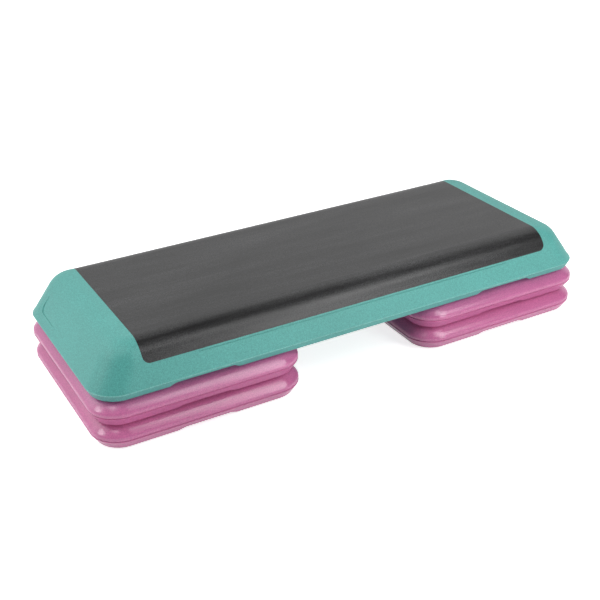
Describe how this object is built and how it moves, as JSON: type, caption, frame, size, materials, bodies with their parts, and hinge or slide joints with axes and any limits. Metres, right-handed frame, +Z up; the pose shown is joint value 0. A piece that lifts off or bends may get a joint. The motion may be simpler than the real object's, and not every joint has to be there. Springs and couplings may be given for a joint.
{
  "type": "aerobic step platform",
  "caption": "Long hollow step deck with a rubber tread mat on two stacks of square risers that nest by their feet, lifted by hand-holds to set the height.",
  "frame": {"origin": "centre of the footprint, on the floor under the feet", "axes": "+X along the deck, +Y across it away from the viewer, +Z up"},
  "size_m": [1.13, 0.444, 0.1995],
  "materials": {
    "deck_plastic": "fine pebble texture, teal",
    "riser_plastic": "satin, dusty pink",
    "mat_rubber": "matt tread rubber, charcoal",
    "foot_rubber": "matt rubber, black"
  },
  "bodies": {
    "floor_risers": {"left_lower_riser": "riser_plastic", "left_lower_foot_left_front": "foot_rubber", "left_lower_foot_left_back": "foot_rubber", "left_lower_foot_right_front": "foot_rubber", "left_lower_foot_right_back": "foot_rubber", "right_lower_riser": "riser_plastic", "right_lower_foot_left_front": "foot_rubber", "right_lower_foot_left_back": "foot_rubber", "right_lower_foot_right_front": "foot_rubber", "right_lower_foot_right_back": "foot_rubber"},
    "left_upper": {"left_upper_riser": "riser_plastic", "left_upper_foot_left_front": "foot_rubber", "left_upper_foot_left_back": "foot_rubber", "left_upper_foot_right_front": "foot_rubber", "left_upper_foot_right_back": "foot_rubber"},
    "right_upper": {"right_upper_riser": "riser_plastic", "right_upper_foot_left_front": "foot_rubber", "right_upper_foot_left_back": "foot_rubber", "right_upper_foot_right_front": "foot_rubber", "right_upper_foot_right_back": "foot_rubber"},
    "deck": {"deck_shell": "deck_plastic", "top_mat": "mat_rubber", "deck_foot_left_front": "foot_rubber", "deck_foot_left_back": "foot_rubber", "deck_foot_right_front": "foot_rubber", "deck_foot_right_back": "foot_rubber"}
  },
  "joints": [
    {"name": "left_upper_lift", "type": "slide", "parent": "floor_risers", "child": "left_upper", "axis": [0, 0, 1], "range_m": [0, 0.12]},
    {"name": "right_upper_lift", "type": "slide", "parent": "floor_risers", "child": "right_upper", "axis": [0, 0, 1], "range_m": [0, 0.12]},
    {"name": "deck_lift", "type": "slide", "parent": "left_upper", "child": "deck", "axis": [0, 0, 1], "range_m": [0, 0.12]}
  ],
  "couplings": [
    {"joint": "right_upper_lift", "follows": "left_upper_lift", "ratio": 1}
  ]
}
